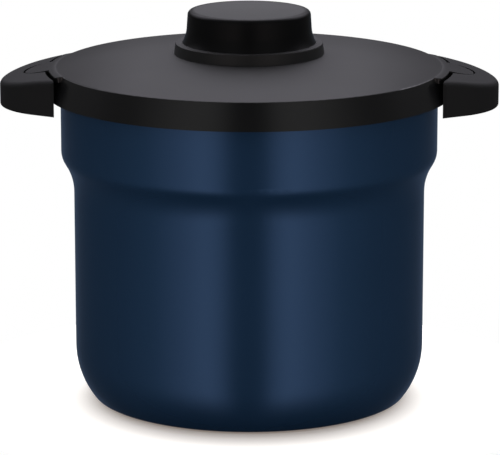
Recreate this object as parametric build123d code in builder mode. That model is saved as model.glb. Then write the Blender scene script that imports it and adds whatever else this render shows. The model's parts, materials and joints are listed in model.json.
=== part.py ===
from build123d import *
from math import acos, asin, cos, degrees, hypot, radians, sin, sqrt
import os

# A vacuum insulated thermal cooker, closed: a painted steel container with a wider neck, a black
# insulated outer lid, and a cooking pot with a glass lid inside. Millimetres, +Z up, the origin on the
# floor under the container's axis, the side handles on the X axis.

# Container
body_radius = 110.9
step_reach = 7.9  # how far the neck stands out from the body
body_rise = 131.9  # floor to the foot of the step
step_rise = 26.6  # height of the S-shaped step
step_split = 0.75  # share of the step that its hollow lower arc takes
neck_rise = 41.0  # top of the step to the mouth
corner_reach = 10.9  # how far the bottom corner draws in
corner_rise = 31.5  # how high the bottom corner starts
bottom_round = 1.2  # bend from the corner to the flat ring
shell_wall = 0.8
liner_wall = 0.8
vacuum_gap = 3.0
floor_gap = 5.0
liner_corner = 20.0
foil_wall = 0.3
foil_margin = 8.0
lip_round = 0.3

# Bottom of the container
base_stand = 1.0  # the steel stands this far off the floor
base_ring_width = 10.8  # flat ring inside the drawn-in corner
base_foot_inset = 3.8  # foot ring's edge inside the drawn-in corner
base_foot_width = 15.0
base_foot_relief = 0.5
dish_rise = 2.8
dish_margin = 4.0
plate_lap = 5.0
glue_gap = 0.1
base_side_gap = 0.5
seal_radius = 4.0
seal_height = 1.2
seal_stem_radius = 1.5
seal_pocket_gap = 3.0
getter_radius = 7.0
getter_height = 2.0
getter_offset = 35.0

# Outer lid
skirt_overhang = 8.7  # skirt's lower edge outside the neck
skirt_lap = 4.5  # skirt's lower edge below the mouth
lid_side_rise = 16.8
lid_side_lean = 5.8
lid_dome_rise = 9.1
lid_wall = 2.5
lid_edge_round = 1.0
lid_seat_gap = 0.3
lid_ring_wall = 2.5
lid_ring_gap = 0.2
plinth_top_radius = 46.3
plinth_lean = 0.9
plinth_rise = 5.6  # above the dome's crown
plinth_top_round = 0.6
plug_gap = 1.0
plug_depth = 9.0
plug_corner = 4.0
inner_cover_wall = 2.0
foam_gap = 1.0

# Outer lid's knob
knob_rise = 20.3
knob_foot_inset = 0.5  # knob's foot inside the plinth's edge
knob_lip = 1.0
knob_flare = 6.5
knob_lean = 0.7
knob_edge_round = 1.5
knob_rim_width = 3.2
knob_dish = 1.0
knob_wall = 3.0
knob_boss_radius = 5.0
knob_screw_count = 3
knob_screw_circle = 24.0
knob_screw_radius = 2.0
knob_screw_head_radius = 4.0
knob_screw_head_height = 2.2
knob_screw_length = 14.0
screw_gap = 0.1

# Side handles and the lid lugs that lie in them
handle_gap = 1.0  # between the lid's skirt and the handle
handle_length = 28.5  # inner face to the tip of the nose
handle_outer_height = 15.5  # height of the outer edge, before its rounding
handle_top_drop = 0.7  # handle's top below the lid's dome where they meet
handle_drop = 8.0  # handle's flat bottom below the skirt's edge
handle_nose_radius = 45.0
handle_nose_half_angle = 60.0
handle_half_span = 46.0
handle_tip_trim = 1.6  # cut off the pointed end of each arm
handle_top_round = 4.0
handle_bottom_round = 1.5
handle_wall = 3.0
finger_roof_drop = 0.5  # hollow's roof below the handle's outer edge
finger_start = 5.5  # handle's inner face to the finger hollow
finger_corner = 1.4
finger_end_width = 2.45  # the hollow ends where it has narrowed to this
lug_reach = 12.5  # past the handle's inner face
lug_nose_radius = 15.0
lug_flare_round = 8.0  # hollow corner between the lug's side and its wings
wing_gap = 2.5  # lid's edge to the handle's inner face, along the wings
wing_trim = 5.0  # the wings end this far short of the handle's arms
wing_corner = 3.0
lug_wall = 3.0
lug_sink = 0.4
lug_side_gap = 1.2
lug_floor_gap = 0.6
lug_lap = 2.4  # how far the lug's top runs on over the dome
lug_root_sink = 0.05  # lug's top below the dome where it starts
root_half_width = 12.5
root_drop = 5.0
root_rise = 9.5
notch_gap = 1.0
bracket_wall = 1.2
bracket_gap = 0.2
bracket_half_width = 11.0
bracket_foot_rise = 3.5  # skirt's lower edge down to the bracket's lower edge
bracket_height = 7.0
tongue_thickness = 1.5
tongue_rise = 4.5
tongue_reach = 9.6
handle_screw_radius = 2.0
handle_screw_head_radius = 3.5
handle_screw_head_height = 2.4
handle_screw_length = 11.0
handle_screw_spacing = 12.0
handle_screw_sink = 0.3

# Cooking pot
pot_side_gap = 4.8
pot_wall = 1.0
pot_seat_gap = 0.3
pot_rim_width = 2.5
pot_rim_height = 1.4
pot_rim_round = 0.5
pot_corner = 8.0
pot_base_margin = 12.7
pot_core_height = 4.0
pot_cap_wall = 0.6
pot_core_gap = 0.1

# Pot lid
pot_lid_margin = 1.0  # band's edge inside the pot's rim
pot_lid_gap = 0.3
band_sheet = 0.6
band_width = 5.0
band_flange = 3.0
band_lip = 4.0
glass_thickness = 4.0
glass_gap = 0.1
glass_dome_rise = 12.0
glass_flat_width = 5.8
glass_hole_radius = 3.2
pot_knob_dish_radius = 16.0
pot_knob_dish_rise = 2.2
pot_knob_dish_wall = 0.8
pot_knob_room = 3.6  # knob's top to the outer lid's underside
pot_knob_height = 13.0
pot_knob_radius = 17.0
pot_knob_stem_radius = 8.0
pot_knob_round = 3.0
pot_knob_brim = 4.5
pot_knob_screw_radius = 2.5
pot_knob_screw_head_radius = 5.0
pot_knob_screw_head_height = 2.5
pot_knob_screw_reach = 10.0
washer_radius = 7.0
washer_height = 1.0
vent_offset = 60.0
vent_bore_radius = 1.6
vent_radius = 2.8
vent_flange_radius = 4.6
vent_flange_height = 0.8
vent_hole_gap = 0.1

# Pot's folding handles
barrel_radius = 3.4
barrel_gap = 0.4
barrel_half_width = 13.0
pivot_rise = 8.8  # pivot above the pot's rim
pivot_running_gap = 0.08
hinge_plate_wall = 1.4
hinge_plate_gap = 0.3
hinge_pad_height = 11.0
hinge_pad_drop = 19.0
hinge_joggle = 2.0
wire_radius = 2.0
wire_side_gap = 1.46  # loop's sides to the liner's neck
wire_top_gap = 0.5  # grip's top to the outer lid's underside
wire_corner = 6.0
wire_lean = 3.0
grip_radius = 4.0
grip_half_length = 20.0
grip_round = 1.0
grip_gap = 0.02

# One overrun serves every cut
cut_over = 1.0

# Heights and radii that follow
step_base_z = body_rise
step_top_z = step_base_z + step_rise
mouth_z = step_top_z + neck_rise
neck_radius = body_radius + step_reach
corner_x = body_radius - corner_reach
corner_radius = (corner_reach**2 + corner_rise**2) / (2 * corner_reach)
base_hole_radius = corner_x - base_ring_width
base_foot_radius = corner_x - base_foot_inset
ring_top_z = base_stand + shell_wall
dish_z = ring_top_z + dish_rise
liner_radius = body_radius - shell_wall - vacuum_gap - liner_wall
liner_neck_radius = neck_radius - shell_wall - vacuum_gap - liner_wall
liner_floor_z = dish_z + shell_wall + floor_gap + liner_wall
skirt_radius = neck_radius + skirt_overhang
skirt_z = mouth_z - skirt_lap
edge_radius = skirt_radius - lid_side_lean
edge_z = skirt_z + lid_side_rise
crown_z = edge_z + lid_dome_rise
dome_radius = (edge_radius**2 + lid_dome_rise**2) / (2 * lid_dome_rise)
plinth_top_z = crown_z + plinth_rise
plinth_foot_radius = plinth_top_radius + plinth_lean
knob_foot_radius = plinth_top_radius - knob_foot_inset
knob_low_radius = knob_foot_radius - knob_flare
knob_top_radius = knob_low_radius - knob_lean
handle_inner_radius = skirt_radius + handle_gap
handle_reach = handle_inner_radius + handle_length
handle_tip_y = handle_half_span + handle_tip_trim
finger_depth = handle_outer_height - finger_roof_drop
handle_bottom_z = skirt_z - handle_drop
handle_outer_z = handle_bottom_z + handle_outer_height
root_bottom_z = skirt_z - root_drop
root_top_z = skirt_z + root_rise
root_radius = neck_radius + bracket_wall + bracket_gap
bracket_foot_z = skirt_z - bracket_foot_rise
tongue_z = bracket_foot_z + tongue_rise
tongue_end_x = root_radius + tongue_reach
handle_screw_x = (root_radius + tongue_end_x) / 2
handle_screw_places = [
    Plane(origin=(handle_screw_x, side * handle_screw_spacing / 2, root_bottom_z), z_dir=(0, 0, -1))
    for side in (-1, 1)
]


os.makedirs("parts", exist_ok=True)


def dome_z(radius):
    """Height of the outer lid's domed top."""
    return crown_z - dome_radius + sqrt(dome_radius**2 - radius**2)


def dome_arc(radius_from, radius_to, depth):
    """Arc of the lid's dome between two radii, a depth below its outer face."""
    radius_mid = (radius_from + radius_to) / 2
    ThreePointArc(
        (radius_from, dome_z(radius_from) - depth),
        (radius_mid, dome_z(radius_mid) - depth),
        (radius_to, dome_z(radius_to) - depth),
    )


def step_curve(low_radius, high_radius):
    """The S-shaped step: a long hollow arc and a tight shoulder, which start and end upright."""
    turn = (low_radius + (high_radius - low_radius) * step_split, step_base_z + step_rise * step_split)
    lower = TangentArc((low_radius, step_base_z), turn, tangent=(0, 1))
    TangentArc(turn, (high_radius, step_top_z), tangent=lower % 1)


def near(sketch, x, y):
    """The sketch's corner nearest to a point."""
    return sketch.vertices().sort_by_distance((x, y))[0]


def write(builder, name):
    """Labels a finished piece and writes its file."""
    builder.part.label = name
    export_step(builder.part, f"parts/{name}.step")


# Outer shell: body, step, neck and the drawn-in bottom corner
with BuildPart() as outer_shell:
    with BuildSketch(Plane.XZ) as shell_profile:
        with BuildLine():
            corner_z = base_stand + corner_rise
            inner_radius = body_radius - shell_wall
            inner_neck = neck_radius - shell_wall
            top_z = mouth_z - liner_wall
            # The corner's inner arc has the same centre as its outer one
            inner_corner_x = body_radius - corner_radius + sqrt(
                (corner_radius - shell_wall) ** 2 - (corner_rise - shell_wall) ** 2
            )
            Line((base_hole_radius, base_stand), (corner_x, base_stand))
            TangentArc((body_radius, corner_z), (corner_x, base_stand), tangent=(0, -1))
            Line((body_radius, corner_z), (body_radius, step_base_z))
            step_curve(body_radius, neck_radius)
            Polyline(
                (neck_radius, step_top_z), (neck_radius, top_z), (inner_neck, top_z), (inner_neck, step_top_z)
            )
            step_curve(inner_radius, inner_neck)
            Line((inner_radius, step_base_z), (inner_radius, corner_z))
            TangentArc((inner_radius, corner_z), (inner_corner_x, ring_top_z), tangent=(0, -1))
            Polyline(
                (inner_corner_x, ring_top_z), (base_hole_radius, ring_top_z), (base_hole_radius, base_stand)
            )
        make_face()
        fillet(near(shell_profile, corner_x, base_stand), bottom_round)
    revolve(axis=Axis.Z)
write(outer_shell, "outer_shell")

# Outer bottom: pressed plate, lapped inside the shell's ring and dished up
with BuildPart() as outer_bottom:
    dish_radius = base_hole_radius - dish_margin
    lap_radius = base_hole_radius + plate_lap
    with BuildSketch(Plane.XZ):
        with BuildLine():
            Polyline(
                (seal_stem_radius, dish_z),
                (dish_radius, dish_z),
                (dish_radius, ring_top_z),
                (lap_radius, ring_top_z),
                (lap_radius, ring_top_z + shell_wall),
                (dish_radius + shell_wall, ring_top_z + shell_wall),
                (dish_radius + shell_wall, dish_z + shell_wall),
                (seal_stem_radius, dish_z + shell_wall),
                close=True,
            )
        make_face()
    revolve(axis=Axis.Z)
write(outer_bottom, "outer_bottom")

# Vacuum seal: plug under the evacuation hole
with BuildPart() as vacuum_seal:
    with BuildSketch(Plane.XY.offset(dish_z - seal_height)):
        Circle(seal_radius)
    extrude(amount=seal_height)
    with BuildSketch(Plane.XY.offset(dish_z)):
        Circle(seal_stem_radius - screw_gap)
    extrude(amount=shell_wall)
write(vacuum_seal, "vacuum_seal")

# Getter: pellet on the bottom plate, in the vacuum
with BuildPart() as getter:
    with BuildSketch(Plane.XY.offset(dish_z + shell_wall)):
        with Locations((getter_offset, 0)):
            Circle(getter_radius)
    extrude(amount=getter_height)
write(getter, "getter")

# Base cover: plastic disc with a foot ring, glued into the dish
with BuildPart() as base_cover:
    with BuildSketch(Plane.XZ) as base_profile:
        with BuildLine():
            pocket_radius = seal_radius + seal_pocket_gap
            pocket_z = dish_z - seal_height - glue_gap
            step_radius = base_hole_radius - base_side_gap
            plug_side = dish_radius - base_side_gap
            Polyline(
                (0, base_foot_relief),
                (base_foot_radius - base_foot_width, base_foot_relief),
                (base_foot_radius - base_foot_width, 0),
                (base_foot_radius, 0),
                (base_foot_radius, base_stand),
                (step_radius, base_stand),
                (step_radius, ring_top_z - glue_gap),
                (plug_side, ring_top_z - glue_gap),
                (plug_side, dish_z - glue_gap),
                (pocket_radius, dish_z - glue_gap),
                (pocket_radius, pocket_z),
                (0, pocket_z),
                close=True,
            )
        make_face()
        fillet(near(base_profile, base_foot_radius, 0), base_foot_relief)
    revolve(axis=Axis.Z)
write(base_cover, "base_cover")

# Inner liner: vessel with the same step, rolled out over the mouth
with BuildPart() as inner_liner:
    with BuildSketch(Plane.XZ) as liner_profile:
        with BuildLine():
            turn_x = liner_radius - liner_corner
            turn_z = liner_floor_z + liner_corner
            outer_low = liner_radius + liner_wall
            outer_neck = liner_neck_radius + liner_wall
            lip_z = mouth_z - liner_wall
            Line((0, liner_floor_z), (turn_x, liner_floor_z))
            CenterArc((turn_x, turn_z), liner_corner, 270, 90)
            Line((liner_radius, turn_z), (liner_radius, step_base_z))
            step_curve(liner_radius, liner_neck_radius)
            Polyline(
                (liner_neck_radius, step_top_z),
                (liner_neck_radius, mouth_z),
                (neck_radius, mouth_z),
                (neck_radius, lip_z),
                (outer_neck, lip_z),
                (outer_neck, step_top_z),
            )
            step_curve(outer_low, outer_neck)
            Line((outer_low, step_base_z), (outer_low, turn_z))
            CenterArc((turn_x, turn_z), liner_corner + liner_wall, 270, 90)
            Polyline(
                (turn_x, liner_floor_z - liner_wall), (0, liner_floor_z - liner_wall), (0, liner_floor_z)
            )
        make_face()
        fillet(near(liner_profile, neck_radius, mouth_z), lip_round)
    revolve(axis=Axis.Z)
write(inner_liner, "inner_liner")

# Reflective foil round the liner, in the vacuum
with BuildPart() as reflective_foil:
    with BuildSketch(Plane.XY.offset(turn_z + foil_margin)):
        Circle(outer_low + foil_wall)
        Circle(outer_low, mode=Mode.SUBTRACT)
    extrude(amount=step_base_z - turn_z - 2 * foil_margin)
write(reflective_foil, "reflective_foil")

# The handle's crown: an arc that runs on from the lid's dome and falls to the outer edge
crown_start = (handle_inner_radius, dome_z(handle_inner_radius) - handle_top_drop)
crown_slope = asin(handle_inner_radius / dome_radius)
crown_end = (handle_reach, handle_outer_z)
crown_chord = (crown_end[0] - crown_start[0], crown_end[1] - crown_start[1])
crown_inward = (-sin(crown_slope), -cos(crown_slope))
crown_radius = hypot(*crown_chord) ** 2 / (
    2 * (crown_chord[0] * crown_inward[0] + crown_chord[1] * crown_inward[1])
)
crown_centre = (
    crown_start[0] + crown_radius * crown_inward[0],
    crown_start[1] + crown_radius * crown_inward[1],
)
lug_tip_x = handle_inner_radius + lug_reach
lug_tip_z = crown_centre[1] + sqrt(crown_radius**2 - (lug_tip_x - crown_centre[0]) ** 2) - lug_sink
lug_start_x = edge_radius - lug_lap
lug_slope = asin(lug_start_x / dome_radius)


def handle_outline():
    """Plan of the handle's outer edge: a round nose and two long flanks, closed inside the lid."""
    tip = (sqrt(handle_inner_radius**2 - handle_tip_y**2), handle_tip_y)
    nose = CenterArc(
        (handle_reach - handle_nose_radius, 0),
        handle_nose_radius,
        -handle_nose_half_angle,
        2 * handle_nose_half_angle,
    )
    flank = TangentArc(nose @ 1, tip, tangent=nose % 1)
    run_on = flank @ 1 + (flank % 1) * handle_nose_radius
    Line(flank @ 1, run_on)
    mirrored_tip = (tip[0], -tip[1])
    mirrored_run_on = (run_on.X, -run_on.Y)
    TangentArc(nose @ 0, mirrored_tip, tangent=-(nose % 0))
    Line(mirrored_tip, mirrored_run_on)
    Line(run_on, mirrored_run_on)


# Plan of the lug: a tongue with a round nose, which widens into two wings along the lid's edge
nose_x = lug_tip_x - lug_nose_radius
wing_radius = handle_inner_radius - wing_gap
wing_half_width = handle_half_span - wing_trim
wing_root_radius = edge_radius - lid_edge_round
with BuildSketch() as lug_plan:
    Circle(wing_radius)
    Rectangle(2 * wing_radius, 2 * wing_half_width, mode=Mode.INTERSECT)
    Circle(wing_root_radius)
    with Locations((nose_x, 0)):
        Circle(lug_nose_radius)
    with Locations((nose_x / 2, 0)):
        Rectangle(nose_x, 2 * lug_nose_radius)
    with Locations((lug_tip_x, 0)):
        Rectangle(lug_tip_x, 2 * handle_half_span, mode=Mode.INTERSECT)
    for side in (-1, 1):
        fillet(near(lug_plan, wing_radius, side * lug_nose_radius), lug_flare_round)
        for radius in (wing_root_radius, wing_radius):
            wing_x = sqrt(radius**2 - wing_half_width**2)
            fillet(near(lug_plan, wing_x, side * wing_half_width), wing_corner)

# Cutter for the recess that the lug lies in, open above
with BuildPart() as lug_recess:
    with BuildSketch(Plane.XY.offset(handle_bottom_z)):
        add(lug_plan.sketch)
        offset(amount=lug_side_gap)
    extrude(amount=plinth_top_z - handle_bottom_z)
    with BuildSketch(Plane.XZ):
        with BuildLine():
            low_z = lug_tip_z - lug_wall - lug_floor_gap
            high_z = dome_z(lug_start_x) - lug_wall - lug_floor_gap
            Polyline(
                (lug_start_x, high_z),
                (lug_tip_x + lug_side_gap, low_z),
                (lug_tip_x + lug_side_gap, plinth_top_z),
                (lug_start_x, plinth_top_z),
                close=True,
            )
        make_face()
    extrude(amount=handle_half_span, both=True, mode=Mode.INTERSECT)

# Cutter for the finger hollow under the handle, between the handle's walls
hollow_inner_radius = handle_inner_radius + handle_wall
with BuildSketch() as wide_hollow:
    with BuildLine():
        handle_outline()
    make_face()
    offset(amount=-handle_wall)
    Circle(hollow_inner_radius + finger_end_width, mode=Mode.SUBTRACT)
finger_half_span = wide_hollow.sketch.bounding_box().max.Y

with BuildPart() as finger_hollow:
    with BuildSketch(Plane.XY.offset(handle_bottom_z - cut_over)):
        with BuildLine():
            handle_outline()
        make_face()
        offset(amount=-handle_wall)
        with Locations((handle_reach, 0)):
            Rectangle(handle_reach, 2 * finger_half_span, mode=Mode.INTERSECT)
        Circle(hollow_inner_radius, mode=Mode.SUBTRACT)
        with Locations((handle_inner_radius, 0)):
            Rectangle(2 * finger_start, 2 * (root_half_width + handle_wall), mode=Mode.SUBTRACT)
    extrude(amount=finger_depth + cut_over)
    # The upright edges where the nose runs into the flanks are smooth already
    smooth_y = (handle_nose_radius - handle_wall) * sin(radians(handle_nose_half_angle))
    fillet(
        finger_hollow.edges().filter_by(Axis.Z).filter_by(
            lambda edge: abs(abs((edge @ 0).Y) - smooth_y) > finger_corner / 2
        ),
        finger_corner,
    )
    fillet(finger_hollow.faces().sort_by(Axis.Z)[-1].edges(), finger_corner)

# Right handle: outer form, then the lid's clearance, the recess for the lug and the finger hollow
with BuildPart() as right_handle:
    with BuildSketch(Plane.XY.offset(handle_bottom_z)):
        with BuildLine():
            handle_outline()
        make_face()
        with Locations((handle_reach, 0)):
            Rectangle(handle_reach, 2 * (handle_half_span + handle_top_round), mode=Mode.INTERSECT)
    extrude(amount=plinth_top_z - handle_bottom_z)
    with BuildSketch(Plane.XZ):
        with BuildLine():
            block_end_x = handle_reach + cut_over
            outer_angle = degrees(acos((block_end_x - crown_centre[0]) / crown_radius))
            crown = CenterArc(crown_centre, crown_radius, outer_angle, 2 * (90 - outer_angle))
            Polyline(
                crown @ 0, (block_end_x, handle_bottom_z), ((crown @ 1).X, handle_bottom_z), crown @ 1
            )
        make_face()
    revolve(axis=Axis.Z, mode=Mode.INTERSECT)
    # Round the outer edges while the block is still whole, so that the thin arm tips can't spoil them.
    # The nose's edge is enough, because the rounding runs on along the flanks.
    fillet(right_handle.faces().sort_by(Axis.Z)[-1].edges().sort_by(Axis.X)[-1], handle_top_round)
    fillet(right_handle.faces().sort_by(Axis.Z)[0].edges().sort_by(Axis.X)[-1], handle_bottom_round)
    # Square ends for the arms, and the lid's clearance
    with BuildSketch(Plane.XY.offset(handle_bottom_z - cut_over)):
        with Locations((handle_reach, 0)):
            Rectangle(handle_reach, 2 * handle_half_span)
        Circle(handle_inner_radius, mode=Mode.SUBTRACT)
    extrude(amount=plinth_top_z - handle_bottom_z, mode=Mode.INTERSECT)
    # The root that reaches under the lug to the neck
    with BuildSketch(Plane.XY.offset(root_bottom_z)):
        with Locations((handle_inner_radius, 0)):
            Rectangle(2 * finger_start, 2 * root_half_width)
        with Locations((handle_inner_radius - finger_start, 0)):
            Rectangle(2 * finger_start, 2 * root_half_width)
        Circle(root_radius, mode=Mode.SUBTRACT)
    extrude(amount=root_top_z - root_bottom_z)
    add(lug_recess.part, mode=Mode.SUBTRACT)
    add(finger_hollow.part, mode=Mode.SUBTRACT)
    # Slot for the bracket's tongue
    with BuildSketch(Plane.XY.offset(tongue_z - bracket_gap)):
        with Locations(((tongue_end_x + bracket_gap) / 2, 0)):
            Rectangle(tongue_end_x + bracket_gap, 2 * (bracket_half_width + bracket_gap))
    extrude(amount=tongue_thickness + 2 * bracket_gap, mode=Mode.SUBTRACT)
    # Screw holes from below
    with Locations(*handle_screw_places):
        CounterBoreHole(
            handle_screw_radius + screw_gap,
            handle_screw_head_radius + screw_gap,
            handle_screw_head_height + handle_screw_sink,
            handle_screw_sink + handle_screw_head_height + handle_screw_length + screw_gap,
        )
write(right_handle, "right_handle")

with BuildPart() as left_handle:
    mirror(right_handle.part, about=Plane.YZ)
write(left_handle, "left_handle")

# Handle bracket: pad welded to the neck, with a tongue that the handle's screws hold
with BuildPart() as right_handle_bracket:
    with BuildSketch(Plane.XY.offset(bracket_foot_z)):
        Circle(neck_radius + bracket_wall)
        Circle(neck_radius, mode=Mode.SUBTRACT)
        with Locations((neck_radius, 0)):
            Rectangle(neck_radius, 2 * bracket_half_width, mode=Mode.INTERSECT)
    extrude(amount=bracket_height)
    with BuildSketch(Plane.XY.offset(tongue_z)):
        with Locations((tongue_end_x / 2, 0)):
            Rectangle(tongue_end_x, 2 * bracket_half_width)
        Circle(neck_radius, mode=Mode.SUBTRACT)
        with Locations((-tongue_end_x, 0)):
            Rectangle(2 * tongue_end_x, 2 * neck_radius, mode=Mode.SUBTRACT)
    extrude(amount=tongue_thickness)
    with Locations(*handle_screw_places):
        Hole(handle_screw_radius + screw_gap)
write(right_handle_bracket, "right_handle_bracket")

with BuildPart() as left_handle_bracket:
    mirror(right_handle_bracket.part, about=Plane.YZ)
write(left_handle_bracket, "left_handle_bracket")

# Handle screws: pan heads sunk in the root's underside
with BuildPart() as right_handle_screws:
    with Locations(*[place.offset(-handle_screw_sink) for place in handle_screw_places]):
        Cylinder(
            handle_screw_head_radius,
            handle_screw_head_height,
            align=(Align.CENTER, Align.CENTER, Align.MAX),
        )
        Cylinder(
            handle_screw_radius,
            handle_screw_head_height + handle_screw_length,
            align=(Align.CENTER, Align.CENTER, Align.MAX),
        )
write(right_handle_screws, "right_handle_screws")

with BuildPart() as left_handle_screws:
    mirror(right_handle_screws.part, about=Plane.YZ)
write(left_handle_screws, "left_handle_screws")

# Outer lid: flange of the inner cover on the mouth, and the cover's inner ring down to it
flange_z = mouth_z + lid_seat_gap
flange_top_z = flange_z + inner_cover_wall
ring_radius = neck_radius - lid_ring_gap
plug_radius = liner_neck_radius - plug_gap
plug_z = flange_z - plug_depth
plate_under_z = plinth_top_z - lid_wall
knob_screw_places = PolarLocations(knob_screw_circle, knob_screw_count, start_angle=90)

# The lug that the top cover has on each side
with BuildPart() as lug:
    with BuildSketch(Plane.XZ):
        with BuildLine():
            lug_root = (lug_start_x, dome_z(lug_start_x) - lug_root_sink)
            lug_tip = (lug_tip_x, lug_tip_z)
            TangentArc(lug_root, lug_tip, tangent=(cos(lug_slope), -sin(lug_slope)))
            Polyline(
                lug_tip, (lug_tip_x, lug_tip_z - lug_wall), (lug_start_x, lug_root[1] - lug_wall), lug_root
            )
        make_face()
    revolve(axis=Axis.Z)
    with BuildSketch(Plane.XY.offset(skirt_z)):
        add(lug_plan.sketch)
    extrude(amount=plinth_top_z - skirt_z, mode=Mode.INTERSECT)

# Lid top cover: plinth, dome, leaning side and skirt, with the ring that holds the inner cover
with BuildPart() as lid_top_cover:
    with BuildSketch(Plane.XZ) as cover_profile:
        with BuildLine():
            under_plinth = plinth_top_radius - lid_wall
            inside_edge = edge_radius - lid_wall
            Polyline(
                (0, plate_under_z),
                (0, plinth_top_z),
                (plinth_top_radius, plinth_top_z),
                (plinth_foot_radius, dome_z(plinth_foot_radius)),
            )
            dome_arc(plinth_foot_radius, edge_radius, 0)
            Polyline(
                (edge_radius, edge_z),
                (skirt_radius, skirt_z),
                (skirt_radius - lid_wall, skirt_z),
                (inside_edge, dome_z(inside_edge) - lid_wall),
            )
            dome_arc(inside_edge, under_plinth, lid_wall)
            Polyline(
                (under_plinth, dome_z(under_plinth) - lid_wall),
                (under_plinth, plate_under_z),
                (0, plate_under_z),
            )
        make_face()
        fillet(near(cover_profile, edge_radius, edge_z), lid_edge_round)
        fillet(near(cover_profile, plinth_top_radius, plinth_top_z), plinth_top_round)
    revolve(axis=Axis.Z)
    with BuildSketch(Plane.XZ):
        with BuildLine():
            inside_ring = ring_radius - lid_ring_wall
            Polyline(
                (inside_ring, dome_z(inside_ring) - lid_wall / 2),
                (inside_ring, flange_top_z),
                (ring_radius, flange_top_z),
                (ring_radius, dome_z(inside_ring) - lid_wall / 2),
                close=True,
            )
        make_face()
    revolve(axis=Axis.Z)
    # Notches for the handles' roots
    with BuildSketch(Plane.XY.offset(skirt_z - cut_over)):
        Rectangle(2 * lug_tip_x, 2 * (root_half_width + notch_gap))
        Circle(root_radius - bracket_wall, mode=Mode.SUBTRACT)
    extrude(amount=root_top_z + lug_floor_gap - skirt_z + cut_over, mode=Mode.SUBTRACT)
    add(lug.part)
    mirror(lug.part, about=Plane.YZ)
    with knob_screw_places:
        Hole(knob_screw_radius + screw_gap)
write(lid_top_cover, "lid_top_cover")

# Lid inner cover: tray that plugs the mouth, with a flange that rests on the rim
with BuildPart() as lid_inner_cover:
    with BuildSketch(Plane.XZ) as tray_profile:
        with BuildLine():
            tray_inside = plug_radius - inner_cover_wall
            Polyline(
                (0, plug_z),
                (plug_radius, plug_z),
                (plug_radius, flange_z),
                (ring_radius, flange_z),
                (ring_radius, flange_top_z),
                (tray_inside, flange_top_z),
                (tray_inside, plug_z + inner_cover_wall),
                (0, plug_z + inner_cover_wall),
                close=True,
            )
        make_face()
        fillet(near(tray_profile, plug_radius, plug_z), plug_corner)
        fillet(near(tray_profile, tray_inside, plug_z + inner_cover_wall), plug_corner - inner_cover_wall)
    revolve(axis=Axis.Z)
write(lid_inner_cover, "lid_inner_cover")

# Lid insulation: foam that fills the lid, domed like the cover
with BuildPart() as lid_insulation:
    with BuildSketch(Plane.XZ) as foam_profile:
        with BuildLine():
            foam_radius = tray_inside - foam_gap
            foam_z = plug_z + inner_cover_wall
            foam_depth = lid_wall + foam_gap
            dome_arc(0, foam_radius, foam_depth)
            Polyline(
                (foam_radius, dome_z(foam_radius) - foam_depth),
                (foam_radius, foam_z),
                (0, foam_z),
                (0, crown_z - foam_depth),
            )
        make_face()
        fillet(near(foam_profile, foam_radius, foam_z), plug_corner)
    revolve(axis=Axis.Z)
write(lid_insulation, "lid_insulation")

# Lid knob: flared foot, near-upright side, softly dished top, hollow with three screw bosses
with BuildPart() as lid_knob:
    with BuildSketch(Plane.XZ) as knob_profile:
        with BuildLine():
            top_z = plinth_top_z + knob_rise
            lip_z = plinth_top_z + knob_lip
            flare_z = lip_z + knob_foot_radius - knob_low_radius
            rim_radius = knob_top_radius - knob_rim_width
            cavity_radius = knob_low_radius - knob_wall
            cavity_z = top_z - knob_dish - knob_wall
            TangentArc((0, top_z - knob_dish), (rim_radius, top_z), tangent=(1, 0))
            Polyline((rim_radius, top_z), (knob_top_radius, top_z), (knob_low_radius, flare_z))
            TangentArc((knob_low_radius, flare_z), (knob_foot_radius, lip_z), tangent=(0, -1))
            Polyline(
                (knob_foot_radius, lip_z),
                (knob_foot_radius, plinth_top_z),
                (cavity_radius, plinth_top_z),
                (cavity_radius, cavity_z),
                (0, cavity_z),
                (0, top_z - knob_dish),
            )
        make_face()
        fillet(near(knob_profile, knob_top_radius, top_z), knob_edge_round)
        fillet(near(knob_profile, knob_foot_radius, lip_z), knob_lip / 2)
        fillet(near(knob_profile, cavity_radius, cavity_z), knob_edge_round)
    revolve(axis=Axis.Z)
    with BuildSketch(Plane.XY.offset(plinth_top_z)):
        with knob_screw_places:
            Circle(knob_boss_radius)
            Circle(knob_screw_radius + screw_gap, mode=Mode.SUBTRACT)
    extrude(amount=cavity_z - plinth_top_z)
write(lid_knob, "lid_knob")

# Lid knob screws: up through the plinth's plate into the bosses
with BuildPart() as lid_knob_screws:
    with BuildSketch(Plane.XY.offset(plate_under_z - knob_screw_head_height)):
        with knob_screw_places:
            Circle(knob_screw_head_radius)
    extrude(amount=knob_screw_head_height)
    with BuildSketch(Plane.XY.offset(plate_under_z)):
        with knob_screw_places:
            Circle(knob_screw_radius)
    extrude(amount=knob_screw_length)
write(lid_knob_screws, "lid_knob_screws")

# Cooking pot: its lid's knob comes just under the outer lid, and the lid stacks down from there to the rim
pot_radius = liner_radius - pot_side_gap
pot_inner_radius = pot_radius - pot_wall
cap_z = liner_floor_z + pot_seat_gap
core_z = cap_z + pot_cap_wall
pot_under_z = core_z + pot_core_height
pot_floor_z = pot_under_z + pot_wall
pot_knob_top_z = plug_z - pot_knob_room
dish_top_z = pot_knob_top_z - pot_knob_height
glass_crown_z = dish_top_z - pot_knob_dish_rise
glass_top_z = glass_crown_z - glass_dome_rise
glass_z = glass_top_z - glass_thickness
band_z = glass_z - glass_gap - band_sheet
pot_rim_z = band_z - pot_lid_gap
pot_rim_radius = pot_inner_radius + pot_rim_width
base_radius = pot_radius - pot_base_margin

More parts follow.
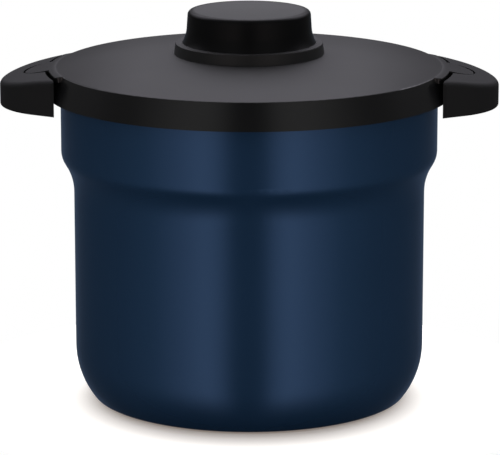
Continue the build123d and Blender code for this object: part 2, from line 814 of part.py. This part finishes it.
# Pot body: straight wall, rounded bottom corner, rolled rim
with BuildPart() as pot_body:
    with BuildSketch(Plane.XZ) as pot_profile:
        with BuildLine():
            bead_z = pot_rim_z - pot_rim_height
            Polyline(
                (0, pot_under_z),
                (pot_radius, pot_under_z),
                (pot_radius, bead_z),
                (pot_rim_radius, bead_z),
                (pot_rim_radius, pot_rim_z),
                (pot_inner_radius, pot_rim_z),
                (pot_inner_radius, pot_floor_z),
                (0, pot_floor_z),
                close=True,
            )
        make_face()
        fillet(near(pot_profile, pot_radius, pot_under_z), pot_corner + pot_wall)
        fillet(near(pot_profile, pot_inner_radius, pot_floor_z), pot_corner)
        fillet(near(pot_profile, pot_rim_radius, pot_rim_z), pot_rim_round)
        fillet(near(pot_profile, pot_rim_radius, bead_z), pot_rim_round)
    revolve(axis=Axis.Z)
write(pot_body, "pot_body")

# Clad base: aluminium core in a stainless cap
with BuildPart() as pot_base_core:
    with BuildSketch(Plane.XY.offset(core_z)):
        Circle(base_radius - pot_cap_wall - pot_core_gap)
    extrude(amount=pot_core_height)
write(pot_base_core, "pot_base_core")

with BuildPart() as pot_base_cap:
    with BuildSketch(Plane.XZ) as cap_profile:
        with BuildLine():
            Polyline(
                (0, cap_z),
                (base_radius, cap_z),
                (base_radius, pot_under_z),
                (base_radius - pot_cap_wall, pot_under_z),
                (base_radius - pot_cap_wall, core_z),
                (0, core_z),
                close=True,
            )
        make_face()
        fillet(near(cap_profile, base_radius, cap_z), pot_cap_wall / 2)
    revolve(axis=Axis.Z)
write(pot_base_cap, "pot_base_cap")

# Pot lid: steel band that clasps the glass and rests on the pot's rim
band_radius = pot_rim_radius - pot_lid_margin
band_top_z = glass_top_z + glass_gap + band_sheet
glass_radius = band_radius - band_sheet - glass_gap
flat_radius = glass_radius - glass_flat_width
glass_dome_radius = (flat_radius**2 + glass_dome_rise**2) / (2 * glass_dome_rise)

with BuildPart() as pot_lid_rim:
    with BuildSketch(Plane.XZ) as band_profile:
        with BuildLine():
            lip_radius = band_radius - band_flange
            Polyline(
                (lip_radius, band_z - band_lip),
                (lip_radius + band_sheet, band_z - band_lip),
                (lip_radius + band_sheet, band_z),
                (band_radius, band_z),
                (band_radius, band_top_z),
                (band_radius - band_width, band_top_z),
                (band_radius - band_width, band_top_z - band_sheet),
                (band_radius - band_sheet, band_top_z - band_sheet),
                (band_radius - band_sheet, band_z + band_sheet),
                (lip_radius, band_z + band_sheet),
                close=True,
            )
        make_face()
        fillet(near(band_profile, band_radius, band_top_z), band_sheet)
    revolve(axis=Axis.Z)
write(pot_lid_rim, "pot_lid_rim")

# Glass: flat edge and dome, bored for the knob's screw and the steam vent
vent_slope = asin(vent_offset / glass_dome_radius)
vent_z = glass_crown_z - glass_dome_radius * (1 - cos(vent_slope))
vent_plane = Plane(
    origin=(0, -vent_offset, vent_z), x_dir=(1, 0, 0), z_dir=(0, -sin(vent_slope), cos(vent_slope))
)
with BuildPart() as pot_lid_glass:
    with BuildSketch(Plane.XZ):
        with BuildLine():
            Line((0, glass_crown_z - glass_thickness), (0, glass_crown_z))
            TangentArc((0, glass_crown_z), (flat_radius, glass_top_z), tangent=(1, 0))
            Polyline(
                (flat_radius, glass_top_z),
                (glass_radius, glass_top_z),
                (glass_radius, glass_z),
                (flat_radius, glass_z),
            )
            TangentArc((0, glass_crown_z - glass_thickness), (flat_radius, glass_z), tangent=(1, 0))
        make_face()
    revolve(axis=Axis.Z)
    with Locations((0, 0, glass_crown_z)):
        Hole(glass_hole_radius, depth=2 * glass_thickness)
    with Locations(vent_plane):
        Hole(vent_radius + vent_hole_gap, depth=2 * glass_thickness)
write(pot_lid_glass, "pot_lid_glass")

# Steam vent: eyelet through the glass, square to its surface
with BuildPart() as pot_lid_vent:
    with BuildSketch(vent_plane.offset(-glass_thickness - vent_flange_height)):
        Circle(vent_radius)
    extrude(amount=glass_thickness + 2 * vent_flange_height)
    with BuildSketch(vent_plane.offset(vent_hole_gap)):
        Circle(vent_flange_radius)
    extrude(amount=vent_flange_height - vent_hole_gap)
    with Locations(vent_plane.offset(vent_flange_height)):
        Hole(vent_bore_radius)
write(pot_lid_vent, "pot_lid_vent")

# Pot lid knob on a steel dish, with its screw and washer under the glass
with BuildPart() as pot_lid_knob_base:
    with BuildSketch(Plane.XZ):
        with BuildLine():
            Polyline(
                (pot_knob_screw_radius + screw_gap, dish_top_z - pot_knob_dish_wall),
                (pot_knob_stem_radius, dish_top_z - pot_knob_dish_wall),
                (pot_knob_dish_radius, glass_crown_z),
                (pot_knob_dish_radius, glass_crown_z + pot_knob_dish_wall),
                (pot_knob_stem_radius, dish_top_z),
                (pot_knob_screw_radius + screw_gap, dish_top_z),
                close=True,
            )
        make_face()
    revolve(axis=Axis.Z)
write(pot_lid_knob_base, "pot_lid_knob_base")

with BuildPart() as pot_lid_knob:
    with BuildSketch(Plane.XZ) as pot_knob_profile:
        with BuildLine():
            brim_z = pot_knob_top_z - pot_knob_brim
            Polyline((0, pot_knob_top_z), (pot_knob_radius, pot_knob_top_z), (pot_knob_radius, brim_z))
            TangentArc((pot_knob_stem_radius, dish_top_z), (pot_knob_radius, brim_z), tangent=(0, 1))
            Polyline((pot_knob_stem_radius, dish_top_z), (0, dish_top_z), (0, pot_knob_top_z))
        make_face()
        fillet(near(pot_knob_profile, pot_knob_radius, pot_knob_top_z), pot_knob_round)
    revolve(axis=Axis.Z)
    with Locations(Plane(origin=(0, 0, dish_top_z), z_dir=(0, 0, -1))):
        Hole(pot_knob_screw_radius + screw_gap, depth=pot_knob_screw_reach)
write(pot_lid_knob, "pot_lid_knob")

with BuildPart() as pot_lid_knob_washer:
    with BuildSketch(Plane.XY.offset(glass_crown_z - glass_thickness - washer_height - glass_gap)):
        Circle(washer_radius)
        Circle(pot_knob_screw_radius + screw_gap, mode=Mode.SUBTRACT)
    extrude(amount=washer_height)
write(pot_lid_knob_washer, "pot_lid_knob_washer")

with BuildPart() as pot_lid_knob_screw:
    screw_head_z = glass_crown_z - glass_thickness - washer_height - glass_gap - pot_knob_screw_head_height
    with BuildSketch(Plane.XY.offset(screw_head_z)):
        Circle(pot_knob_screw_head_radius)
    extrude(amount=pot_knob_screw_head_height)
    with BuildSketch(Plane.XY.offset(screw_head_z)):
        Circle(pot_knob_screw_radius)
    extrude(amount=dish_top_z + pot_knob_screw_reach - screw_gap - screw_head_z)
write(pot_lid_knob_screw, "pot_lid_knob_screw")

# Pot's folding handles: strap bracket up past the rim, barrel, wire loop and grip
pivot_x = band_radius + barrel_gap + barrel_radius
pivot_z = pot_rim_z + pivot_rise
pad_z = pot_rim_z - hinge_pad_drop
plate_radius = pot_rim_radius + hinge_plate_gap
wire_side_radius = liner_neck_radius - wire_side_gap
wire_half_width = sqrt(wire_side_radius**2 - (pivot_x + wire_radius) ** 2) - wire_radius
wire_rise = plug_z - wire_top_gap - grip_radius - pivot_z
lean_normal = (cos(radians(wire_lean)), 0, -sin(radians(wire_lean)))
wire_plane = Plane(origin=(pivot_x, 0, pivot_z), x_dir=(0, 1, 0), z_dir=lean_normal)

with BuildPart() as pot_handle_bracket_right:
    with BuildSketch(Plane.XZ):
        with BuildLine():
            pad_top_z = pad_z + hinge_pad_height
            plate_z = pad_top_z + hinge_joggle
            Polyline(
                (pot_radius, pad_z),
                (pot_radius, pad_top_z),
                (plate_radius, plate_z),
                (plate_radius, pivot_z - barrel_radius / 2),
                (plate_radius + hinge_plate_wall, pivot_z - barrel_radius / 2),
                (plate_radius + hinge_plate_wall, plate_z),
                (pot_radius + hinge_plate_wall, pad_top_z),
                (pot_radius + hinge_plate_wall, pad_z),
                close=True,
            )
        make_face()
    revolve(axis=Axis.Z)
    with BuildSketch(Plane.XY.offset(pad_z)):
        with Locations((pivot_x, 0)):
            Rectangle(pivot_x, 2 * barrel_half_width)
    extrude(amount=pivot_z - pad_z, mode=Mode.INTERSECT)
    with BuildSketch(Plane.XZ):
        with Locations((pivot_x, pivot_z)):
            Circle(barrel_radius)
    extrude(amount=barrel_half_width, both=True)
    with BuildSketch(Plane.XZ):
        with Locations((pivot_x, pivot_z)):
            Circle(wire_radius + pivot_running_gap)
    extrude(amount=barrel_half_width + cut_over, both=True, mode=Mode.SUBTRACT)
write(pot_handle_bracket_right, "pot_handle_bracket_right")

with BuildPart() as pot_handle_bracket_left:
    mirror(pot_handle_bracket_right.part, about=Plane.YZ)
write(pot_handle_bracket_left, "pot_handle_bracket_left")

with BuildPart() as pot_handle_wire_right:
    with BuildLine(wire_plane) as half_loop:
        FilletPolyline(
            (0, 0), (wire_half_width, 0), (wire_half_width, wire_rise), (0, wire_rise), radius=wire_corner
        )
    with BuildSketch(Plane(origin=half_loop.line @ 0, z_dir=half_loop.line % 0)):
        Circle(wire_radius)
    sweep(path=half_loop.line)
    mirror(about=Plane.XZ)
write(pot_handle_wire_right, "pot_handle_wire_right")

with BuildPart() as pot_handle_wire_left:
    mirror(pot_handle_wire_right.part, about=Plane.YZ)
write(pot_handle_wire_left, "pot_handle_wire_left")

# Grip round the loop's top rod
with BuildPart() as pot_handle_grip_right:
    top_rod = half_loop.line @ 1
    with BuildSketch(Plane(origin=top_rod, z_dir=(0, 1, 0))):
        Circle(grip_radius)
        Circle(wire_radius + grip_gap, mode=Mode.SUBTRACT)
    extrude(amount=grip_half_length, both=True)
    fillet(pot_handle_grip_right.faces().filter_by(GeomType.PLANE).edges().group_by(
        lambda edge: edge.radius
    )[-1], grip_round)
write(pot_handle_grip_right, "pot_handle_grip_right")

with BuildPart() as pot_handle_grip_left:
    mirror(pot_handle_grip_right.part, about=Plane.YZ)
write(pot_handle_grip_left, "pot_handle_grip_left")
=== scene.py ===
import json
from math import cos, hypot, pi, radians, sin

import bmesh
import bpy
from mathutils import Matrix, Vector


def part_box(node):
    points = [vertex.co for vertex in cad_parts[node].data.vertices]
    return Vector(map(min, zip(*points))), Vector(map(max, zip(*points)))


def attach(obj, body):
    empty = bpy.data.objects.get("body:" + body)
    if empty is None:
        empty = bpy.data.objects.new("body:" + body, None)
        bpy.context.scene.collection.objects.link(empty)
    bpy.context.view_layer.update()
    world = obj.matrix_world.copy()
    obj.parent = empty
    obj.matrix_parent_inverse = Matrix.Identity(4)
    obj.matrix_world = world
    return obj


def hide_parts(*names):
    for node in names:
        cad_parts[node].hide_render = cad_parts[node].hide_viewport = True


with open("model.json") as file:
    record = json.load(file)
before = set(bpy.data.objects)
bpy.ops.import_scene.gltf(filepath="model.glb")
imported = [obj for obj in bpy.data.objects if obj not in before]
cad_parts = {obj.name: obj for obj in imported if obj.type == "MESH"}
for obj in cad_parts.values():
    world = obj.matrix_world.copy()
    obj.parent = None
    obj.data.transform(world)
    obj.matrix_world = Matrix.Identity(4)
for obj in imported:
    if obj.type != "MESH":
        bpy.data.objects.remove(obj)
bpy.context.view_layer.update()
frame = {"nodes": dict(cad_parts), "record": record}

PHOTO_WIDTH = 500
PHOTO_HEIGHT = 455

# Where the photograph was taken from, in metres and degrees, and where the cooker's axis stands in it, in pixels
CAMERA_DISTANCE = 2.0731
CAMERA_HEIGHT = 0.5972
CAMERA_PITCH = 13.69
CAMERA_TURN = 0.77
FOCAL_PIXELS = 3347.8
AXIS_COLUMN = 249.2
AXIS_ROW = 249.7
SENSOR = 36.0

WHITE = (1.0, 1.0, 1.0, 1.0)
BLACK = (0.0, 0.0, 0.0, 1.0)


def srgb(red, green, blue):
    """A colour from its 0 to 255 display values."""
    linear = []
    for value in (red, green, blue):
        share = value / 255
        linear.append(share / 12.92 if share <= 0.04045 else ((share + 0.055) / 1.055) ** 2.4)
    return (*linear, 1.0)


def grey(level):
    """A grey from its linear level."""
    return (level, level, level, 1.0)


def scaled(colour, share):
    """A colour made lighter or darker."""
    return (*(value * share for value in colour[:3]), 1.0)


class Field:
    """A shader value that takes Python's sums."""

    def __init__(self, tree, socket):
        self.tree = tree
        self.socket = socket

    def maths(self, operation, *others):
        return self.tree.field("Math", {"operation": operation}, dict(enumerate((self, *others))))

    def __add__(self, other):
        return self.maths("ADD", other)

    __radd__ = __add__

    def __sub__(self, other):
        return self.maths("SUBTRACT", other)

    def __rsub__(self, other):
        return self.tree.field("Math", {"operation": "SUBTRACT"}, {0: other, 1: self})

    def __mul__(self, other):
        return self.maths("MULTIPLY", other)

    __rmul__ = __mul__

    def __truediv__(self, other):
        return self.maths("DIVIDE", other)

    def __pow__(self, other):
        return self.maths("POWER", other)


class Tree:
    """A node tree that is filled one node at a time."""

    def __init__(self, tree):
        self.tree = tree

    def feed(self, node, inputs):
        """Sets or links the sockets of a node."""
        for name, value in inputs.items():
            if isinstance(value, Field):
                self.tree.links.new(value.socket, node.inputs[name])
            else:
                node.inputs[name].default_value = value

    def node(self, kind, settings=None, inputs=None):
        """Adds a node: its settings first, then the values or links of its sockets."""
        made = self.tree.nodes.new("ShaderNode" + kind)
        for name, value in (settings or {}).items():
            if name == "stops":
                ramp = made.color_ramp
                while len(ramp.elements) < len(value):
                    ramp.elements.new(1.0)
                for element, (place, level) in zip(ramp.elements, value):
                    element.position = place
                    element.color = level if isinstance(level, tuple) else grey(level)
            else:
                setattr(made, name, value)
        self.feed(made, inputs or {})
        return made

    def field(self, kind, settings=None, inputs=None, output=0):
        return Field(self, self.node(kind, settings, inputs).outputs[output])

    def mix(self, factor, first, second):
        """Blends two colours."""
        return self.field("Mix", {"data_type": "RGBA"}, {0: factor, 6: first, 7: second}, output=2)

    def ramp(self, value, stops):
        """A colour that follows a value through its stops."""
        return self.field("ValToRGB", {"stops": stops}, {"Fac": value})

    def ease(self, value, low, high):
        """A soft step from 0 at low to 1 at high."""
        return self.field(
            "MapRange", {"interpolation_type": "SMOOTHSTEP"}, {"Value": value, "From Min": low, "From Max": high}
        )

    def apart(self, vector):
        """The three parts of a vector."""
        made = self.node("SeparateXYZ", inputs={"Vector": vector})
        return [Field(self, made.outputs[axis]) for axis in "XYZ"]

    def place(self):
        """Object coordinates, whole and in three parts."""
        spot = self.field("TexCoord", output="Object")
        return spot, self.apart(spot)

    def noise(self, where, scale, detail=2.0):
        return self.field("TexNoise", inputs={"Vector": where, "Scale": scale, "Detail": detail})

    def bump(self, height, distance, strength):
        return self.field("Bump", inputs={"Height": height, "Distance": distance, "Strength": strength})

    def ray_kinds(self):
        """Whether a ray comes from the camera or through glass, and whether it is a mirrored one."""
        rays = self.node("LightPath")
        camera, through, mirrored = (
            Field(self, rays.outputs[f"Is {kind} Ray"]) for kind in ("Camera", "Transmission", "Glossy")
        )
        return camera.maths("MAXIMUM", through), mirrored


def length(x, y):
    """Distance from the axis."""
    return (x * x + y * y) ** 0.5


def new_finish(name):
    """An empty material: itself, its tree and its shader node."""
    material = bpy.data.materials.new(name)
    material.use_nodes = True
    return material, Tree(material.node_tree), material.node_tree.nodes["Principled BSDF"]


def navy_paint():
    """Navy metallic lacquer of the shell: fine flake, a slow drift of shade and a faint orange peel."""
    material, tree, shader = new_finish("navy_paint")
    spot, _ = tree.place()
    flake = tree.noise(spot, 2600.0, detail=1.0)
    drift = tree.noise(spot, 9.0)
    peel = tree.noise(spot, 320.0, detail=1.0)
    tree.feed(shader, {
        "Base Color": tree.mix(flake * 0.5 + drift * 0.5, srgb(29, 55, 83), srgb(37, 65, 97)),
        "Metallic": 0.62,
        "Roughness": 0.19 + drift * 0.03 + flake * 0.02,
        "Specular IOR Level": 0.5,
        "Specular Tint": (0.6, 0.75, 1.0, 1.0),
        "Normal": tree.bump(peel, 0.00002, 0.3),
    })
    return material


# Where the lid's rough top gives way to its smoother walls: radii, heights and places in metres
DOME_EDGE = 0.1217
DOME_EDGE_Z = 0.2112
DOME_EDGE_BLEND = 0.0008
LUG_FALL = 0.275  # the lugs' tops slope down this much per metre outward
PLINTH_FOOT_Z = 0.2198
PLINTH_TOP_Z = 0.2262
PLINTH_BLEND = 0.0003
TOWARDS_LUGS = (0.06, 0.135)
TOWARDS_BACK = (-0.02, 0.1)

SPARK_GRAIN = 1900.0
SPARK_DEPTH = 0.6


def lid_flats(tree, x, y, z):
    """0 on the skirt, 1 on the dome, more towards its lugs and its back, less on the plinth's wall."""
    past_edge = (length(x, y) - DOME_EDGE).maths("MAXIMUM", 0.0)
    top = tree.ease(z + past_edge * LUG_FALL, DOME_EDGE_Z, DOME_EDGE_Z + DOME_EDGE_BLEND)
    above_foot, above_plinth = (tree.ease(z, end - PLINTH_BLEND, end) for end in (PLINTH_FOOT_Z, PLINTH_TOP_Z))
    aside = tree.ease(x.maths("ABSOLUTE"), *TOWARDS_LUGS) * 0.6
    astern = tree.ease(y, *TOWARDS_BACK) * 0.3
    return top * (aside + astern + 1.0) * (1.0 - (above_foot - above_plinth) * 0.4)


def moulding(name, shade, walls, grain, shine=0.5, flats=None, mask=None):
    """Moulded plastic with a fine spark-eroded grain; a mask brings in the flats' own roughness."""
    material, tree, shader = new_finish(name)
    spot, parts = tree.place()
    speckle = tree.noise(spot, SPARK_GRAIN)
    cloud = tree.noise(spot, 24.0)
    base = mask(tree, *parts) * (flats - walls) + walls if mask else walls
    tree.feed(shader, {
        "Base Color": tree.mix(speckle, shade, scaled(shade, 1.25)),
        "Roughness": speckle * 0.06 + cloud * 0.04 + base,
        "Specular IOR Level": shine,
        "Normal": tree.bump(speckle, grain, SPARK_DEPTH),
    })
    return material


def knob_plastic():
    """The knob's black plastic, with a satin coat on its dished top that ends at the rim."""
    material, tree, shader = new_finish("knob_black")
    spot, (x, y, _) = tree.place()
    speckle = tree.noise(spot, SPARK_GRAIN)
    rim = tree.ease(length(x, y), 0.0335, 0.0365)
    tree.feed(shader, {
        "Base Color": tree.mix(speckle, srgb(8, 8, 9), srgb(10, 10, 11)),
        "Roughness": speckle * 0.06 + 0.3,
        "Specular IOR Level": 0.08,
        "Coat Weight": 0.53 - rim * 0.5,
        "Coat Roughness": 0.52,
        "Normal": tree.bump(speckle, 0.00001, SPARK_DEPTH),
    })
    return material


def turned_steel(name, shade, low, high, groove):
    """Stainless steel with fine rings round the axis, as spinning and polishing leave them."""
    material, tree, shader = new_finish(name)
    spot, (x, y, z) = tree.place()
    ringed = tree.field("CombineXYZ", inputs={"X": length(x, y), "Y": 0.0, "Z": z})
    rings = tree.noise(ringed, 2400.0, detail=3.0)
    patches = tree.noise(spot, 14.0)
    tree.feed(shader, {
        "Base Color": tree.mix(rings * 0.6 + patches * 0.4, shade, scaled(shade, 0.86)),
        "Metallic": 1.0,
        "Roughness": low + (rings * 0.7 + patches * 0.3) * (high - low),
        "Normal": tree.bump(rings, groove, 0.5),
    })
    return material


def plain_metal(name, shade, low, high):
    """Small metal pieces: worn a little darker and rougher in patches."""
    material, tree, shader = new_finish(name)
    spot, _ = tree.place()
    patches = tree.noise(spot, 180.0, detail=3.0)
    tree.feed(shader, {
        "Base Color": tree.mix(patches, shade, scaled(shade, 0.8)),
        "Metallic": 1.0,
        "Roughness": low + patches * (high - low),
        "Normal": tree.bump(patches, 0.00003, 0.4),
    })
    return material


def rigid_foam():
    """Closed-cell foam, warm white."""
    material, tree, shader = new_finish("rigid_foam")
    spot, _ = tree.place()
    cells = tree.field("TexVoronoi", inputs={"Vector": spot, "Scale": 420.0})
    tree.feed(shader, {
        "Base Color": tree.mix(cells, srgb(232, 226, 208), srgb(200, 192, 170)),
        "Roughness": 0.85,
        "Normal": tree.bump(cells, 0.0003, 0.7),
    })
    return material


def clear_glass():
    """Tempered lid glass with a faint green body."""
    material, tree, shader = new_finish("clear_glass")
    spot, _ = tree.place()
    tree.feed(shader, {
        "Base Color": (0.93, 0.97, 0.95, 1.0),
        "Roughness": tree.noise(spot, 40.0) * 0.03,
        "IOR": 1.5,
        "Transmission Weight": 1.0,
    })
    return material


FINISHES = {
    "painted_shell": navy_paint(),
    "black_plastic": moulding("lid_black", srgb(9, 9, 10), 0.2, 0.00001, flats=0.6, mask=lid_flats),
    "grey_plastic": moulding("inner_cover_grey", srgb(122, 122, 124), 0.4, 0.00002),
    "grip_plastic": moulding("grip_black", srgb(20, 20, 20), 0.3, 0.00002),
    "stainless_sheet": turned_steel("satin_steel", (0.62, 0.61, 0.59, 1.0), 0.24, 0.4, 0.00002),
    "polished_stainless": turned_steel("polished_steel", (0.7, 0.69, 0.67, 1.0), 0.1, 0.2, 0.000008),
    "screw_steel": plain_metal("screw_steel", (0.55, 0.55, 0.54, 1.0), 0.25, 0.4),
    "seal_metal": plain_metal("seal_metal", (0.3, 0.3, 0.3, 1.0), 0.45, 0.6),
    "foil": plain_metal("foil_aluminium", (0.85, 0.85, 0.86, 1.0), 0.12, 0.25),
    "base_aluminium": plain_metal("base_aluminium", (0.7, 0.7, 0.7, 1.0), 0.3, 0.45),
    "foam": rigid_foam(),
    "lid_glass": clear_glass(),
}

knob_black = knob_plastic()
handle_black = moulding("handle_black", srgb(19, 19, 20), 0.6, 0.00002, shine=0.14)
OWN_FINISHES = {"left_handle": handle_black, "right_handle": handle_black}

slots = {row["node"]: row["material_slot"] for row in frame["record"]["subparts"]}
for name, node in frame["nodes"].items():
    node.data.materials.clear()
    node.data.materials.append(OWN_FINISHES.get(name, FINISHES[slots[name]]))


# Lid knob, in metres: outline of its right half from the middle of the top, round the foot and up the hollow
knob_low, knob_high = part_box("lid_knob")
FOOT_Z = knob_low[2]
TOP_Z = knob_high[2]
HOLLOW_Z = TOP_Z - 0.004
HOLLOW_RADIUS = 0.0363
RIM = (0.0385, TOP_Z)
RIM_ROUND = 0.0026
WAIST = (0.0396, FOOT_Z + 0.0041)
WAIST_ROUND = 0.0046
DISH = [(0.0, TOP_Z - 0.001), (0.012, TOP_Z - 0.00089), (0.023, TOP_Z - 0.00057), (0.0345, TOP_Z)]
FOOT = [(0.042, FOOT_Z), (HOLLOW_RADIUS, FOOT_Z)]
HOLLOW = [(HOLLOW_RADIUS, HOLLOW_Z), (0.0, HOLLOW_Z)]

# The three bosses that the knob's screws go into; each runs a little way into the knob's top
BOSS_ANGLES = (90, 210, 330)
BOSS_CIRCLE = 0.024
BOSS_RADIUS = 0.005
BOSS_BORE = 0.0022
BOSS_TOP_Z = HOLLOW_Z + 0.0002
BOSS_OUTLINE = [
    (BOSS_BORE, FOOT_Z), (BOSS_RADIUS, FOOT_Z), (BOSS_RADIUS, BOSS_TOP_Z), (BOSS_BORE, BOSS_TOP_Z),
]

TURN_STEPS = 144
SAME_POINT = 1e-6
SAME_RING = 1e-5


def turn(mesh, outline, closed, centre=(0.0, 0.0)):
    """Turns an outline of radius and height points round an upright axis."""
    corners = [mesh.verts.new((centre[0] + radius, centre[1], height)) for radius, height in outline]
    links = [mesh.edges.new(pair) for pair in zip(corners, corners[1:])]
    if closed:
        links.append(mesh.edges.new((corners[-1], corners[0])))
    bmesh.ops.spin(
        mesh, geom=corners + links, cent=(*centre, 0.0), axis=(0.0, 0.0, 1.0), angle=2 * pi,
        steps=TURN_STEPS, use_merge=True,
    )


def round_ring(mesh, spot, size, segments):
    """Rounds the ring of edges that passes through a spot of the outline."""
    radius, height = spot

    def on_ring(corner):
        x, y, z = corner.co
        return abs(hypot(x, y) - radius) < SAME_RING and abs(z - height) < SAME_RING

    bmesh.ops.bevel(
        mesh, geom=[edge for edge in mesh.edges if all(on_ring(end) for end in edge.verts)],
        offset=size, offset_type="OFFSET", segments=segments, profile=0.5, affect="EDGES", material=-1,
    )


def add_piece(name, mesh, finish):
    """Puts a finished mesh into the scene."""
    data = bpy.data.meshes.new(name)
    mesh.to_mesh(data)
    mesh.free()
    data.materials.append(finish)
    piece = bpy.data.objects.new(name, data)
    bpy.context.scene.collection.objects.link(piece)
    return piece


def add_knob():
    """The lid's knob: rounded rim, softly dished top, waist that flares to the foot, hollow with three bosses."""
    mesh = bmesh.new()
    turn(mesh, [*DISH, RIM, WAIST, *FOOT, *HOLLOW], closed=False)
    bmesh.ops.remove_doubles(mesh, verts=mesh.verts, dist=SAME_POINT)
    round_ring(mesh, RIM, RIM_ROUND, 8)
    round_ring(mesh, WAIST, WAIST_ROUND, 10)
    for angle in BOSS_ANGLES:
        middle = (BOSS_CIRCLE * cos(radians(angle)), BOSS_CIRCLE * sin(radians(angle)))
        turn(mesh, BOSS_OUTLINE, closed=True, centre=middle)
    bmesh.ops.recalc_face_normals(mesh, faces=mesh.faces)
    knob = add_piece("knob", mesh, knob_black)
    knob.data.shade_smooth()
    knob.data.set_sharp_from_angle(angle=radians(32))
    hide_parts("lid_knob")
    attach(knob, "outer_lid")


# Brightness of the studio's walls round the cooker, from the near side (0) to the far side (1),
# as surfaces mirror it that look down (low) or up (high)
LOW_WALLS = [
    (0.0, 0.08), (0.05, 0.1), (0.1, (0.9, 0.74, 0.73, 1.0)), (0.15, (1.22, 0.99, 0.96, 1.0)),
    (0.24, (0.74, 0.62, 0.62, 1.0)), (0.36, 0.27), (0.5, 0.13), (0.65, 0.08), (0.8, 0.08),
    (1.0, (0.1, 0.14, 0.2, 1.0)),
]
HIGH_WALLS = [
    (0.0, 0.02), (0.05, 0.02), (0.1, 0.4), (0.2, 0.4), (0.4, 0.08), (0.7, 0.08), (0.85, 0.06), (0.95, 0.1),
    (1.0, 0.12),
]
WALL_BLEND = (-0.06, 0.12)
CEILING = (2.6, 2.53, 2.82, 1.0)
CEILING_RISE = (0.2, 0.75)
CEILING_DEPTH = (0.0, 0.4)
DARK_GROUND = grey(0.03)
GROUND_FALL = (0.38, 0.95)
AMBIENT = 0.75
TINY = 1e-6


def add_studio():
    """White for the camera; for reflections a studio with two soft bands of light in front."""
    world = bpy.data.worlds.new("studio")
    world.use_nodes = True
    bpy.context.scene.world = world
    world.node_tree.nodes.clear()
    tree = Tree(world.node_tree)
    x, y, z = tree.apart(tree.field("TexCoord", output="Generated"))
    bearing = (y * -1.0 / (x * x + y * y + TINY) ** 0.5).maths("ARCCOSINE") / pi
    walls = tree.mix(tree.ease(z, *WALL_BLEND), tree.ramp(bearing, LOW_WALLS), tree.ramp(bearing, HIGH_WALLS))
    above = tree.mix(tree.ease(z, *CEILING_RISE) * tree.ease(y, *CEILING_DEPTH), walls, CEILING)
    studio = tree.mix(tree.ease(z * -1.0, *GROUND_FALL), above, DARK_GROUND)
    viewed, mirrored = tree.ray_kinds()
    colour = tree.mix(viewed, tree.mix(mirrored, grey(AMBIENT), studio), WHITE)
    glow = tree.field("Background", inputs={"Color": colour, "Strength": 1.0})
    tree.node("OutputWorld", inputs={"Surface": glow})


FLOOR_RADIUS = 0.2
FLOOR_DROP = 0.0003  # below the foot ring, so that the two faces don't share a plane
# Painted shadow in the floor's glow: how far its middle is moved towards the camera, the radii over which it
# fades to the open floor, its dark tone near the foot, and the open floor's tone
PAINTED_SHADOW_BACK = 0.02
PAINTED_SHADOW_REACH = (0.084, 0.122)
PAINTED_SHADOW_TONE = srgb(118, 107, 98)
OPEN_FLOOR = srgb(235, 230, 225)


def add_floor():
    """A pale round floor that whitens out round the cooker: its shading keeps the real soft shadow, and its glow
    for the camera adds a painted shadow near the cooker's foot.
    """
    mesh = bmesh.new()
    bmesh.ops.create_circle(mesh, cap_ends=True, radius=FLOOR_RADIUS, segments=128)
    bmesh.ops.translate(mesh, verts=mesh.verts, vec=(0.0, 0.0, -FLOOR_DROP))
    material, tree, shader = new_finish("pale_floor")
    _, (x, y, _) = tree.place()
    viewed, mirrored = tree.ray_kinds()
    # Painted shadow: the glow that the camera sees is dark near the cooker's foot and turns pale further out
    glow = tree.mix(tree.ease(length(x, y + PAINTED_SHADOW_BACK), *PAINTED_SHADOW_REACH), PAINTED_SHADOW_TONE, OPEN_FLOOR)
    tree.feed(shader, {
        "Base Color": grey(0.8),
        "Roughness": 0.9,
        "Specular IOR Level": 0.0,
        "Emission Color": tree.mix(viewed, BLACK, glow),
        "Emission Strength": 1.0,
    })
    clear = tree.field("BsdfTransparent")
    sheet = tree.field("MixShader", inputs={0: mirrored, 1: Field(tree, shader.outputs[0]), 2: clear})
    tree.feed(tree.tree.nodes["Material Output"], {"Surface": sheet})
    add_piece("floor", mesh, material)


LAMP_HEIGHT = 1.4
LAMP_SIZE = 1.0
LAMP_POWER = 6.0


def add_lamp():
    """A soft square lamp overhead that the finishes don't mirror."""
    data = bpy.data.lights.new("overhead_lamp", "AREA")
    data.size = LAMP_SIZE
    data.energy = LAMP_POWER
    lamp = bpy.data.objects.new("overhead_lamp", data)
    lamp.location = (0.0, 0.0, LAMP_HEIGHT)
    lamp.visible_glossy = False
    bpy.context.scene.collection.objects.link(lamp)


def add_camera():
    """The photograph's view."""
    data = bpy.data.cameras.new("photo_view")
    data.sensor_width = SENSOR
    data.lens = FOCAL_PIXELS / PHOTO_WIDTH * SENSOR
    data.shift_x = (PHOTO_WIDTH / 2 - AXIS_COLUMN) / PHOTO_WIDTH
    data.shift_y = (AXIS_ROW - PHOTO_HEIGHT / 2) / PHOTO_WIDTH
    camera = bpy.data.objects.new("photo_view", data)
    aside = radians(CAMERA_TURN)
    camera.location = (CAMERA_DISTANCE * sin(aside), -CAMERA_DISTANCE * cos(aside), CAMERA_HEIGHT)
    camera.rotation_euler = (radians(90.0 - CAMERA_PITCH), 0.0, aside)
    bpy.context.scene.collection.objects.link(camera)
    bpy.context.scene.camera = camera


add_knob()
add_studio()
add_floor()
add_lamp()
add_camera()

bpy.context.scene.view_settings.view_transform = "Standard"
